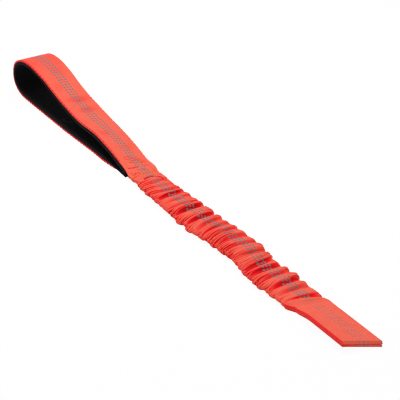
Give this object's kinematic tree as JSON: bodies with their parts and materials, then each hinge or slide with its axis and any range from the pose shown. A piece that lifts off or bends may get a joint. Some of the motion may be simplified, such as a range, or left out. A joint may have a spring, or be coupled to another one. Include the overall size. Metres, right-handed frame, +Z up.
{
  "type": "bungee tug toy",
  "caption": "Webbing tug strap with a lined hand loop, a gathered stretch over an elastic that gives when pulled, and a flat tail for a toy",
  "frame": {"origin": "the middle of the junction's underside, on the surface that the strap lies on", "axes": "X along the strap, with the hand loop at -X and the tail at +X; Y across the strap; Z up from the surface it lies on"},
  "size_m": [0.4887, 0.031, 0.0324],
  "materials": {
    "webbing": "coral-red woven nylon webbing with rows of small grey reflective dots",
    "neoprene": "black neoprene padding, matt",
    "thread": "red bonded sewing thread",
    "elastic": "off-white flat elastic, hidden inside"
  },
  "bodies": {
    "handle": {"handle_webbing": "webbing", "handle_lining": "neoprene", "lining_stitch_near": "thread", "lining_stitch_far": "thread", "junction_box_stitch": "thread", "junction_bar_tack": "thread", "elastic_front_tab": "elastic"},
    "bungee": {"casing_upper": "webbing", "casing_lower": "webbing", "casing_seam_near": "thread", "casing_seam_far": "thread", "elastic_band": "elastic"},
    "bungee_end": {"elastic_rear_tab": "elastic", "casing_bar_tack": "thread"},
    "tail": {"tail_upper": "webbing", "tail_lower": "webbing", "tail_seam_near": "thread", "tail_seam_far": "thread"}
  },
  "joints": [
    {"name": "handle_fold", "type": "hinge", "parent": "handle", "child": "bungee", "pos_m": [0.0145, 0, 0.003], "axis": [0, 1, 0], "range_deg": [-85, 85]},
    {"name": "bungee_stretch", "type": "slide", "parent": "bungee", "child": "bungee_end", "axis": [1, 0, 0], "range_m": [0, 0.1], "stiffness_N_per_m": 500, "deforming": ["casing_upper", "casing_lower", "casing_seam_near", "casing_seam_far", "elastic_band"]},
    {"name": "tail_fold", "type": "hinge", "parent": "bungee_end", "child": "tail", "pos_m": [0.2285, 0, 0.003], "axis": [0, 1, 0], "range_deg": [-75, 75]}
  ]
}
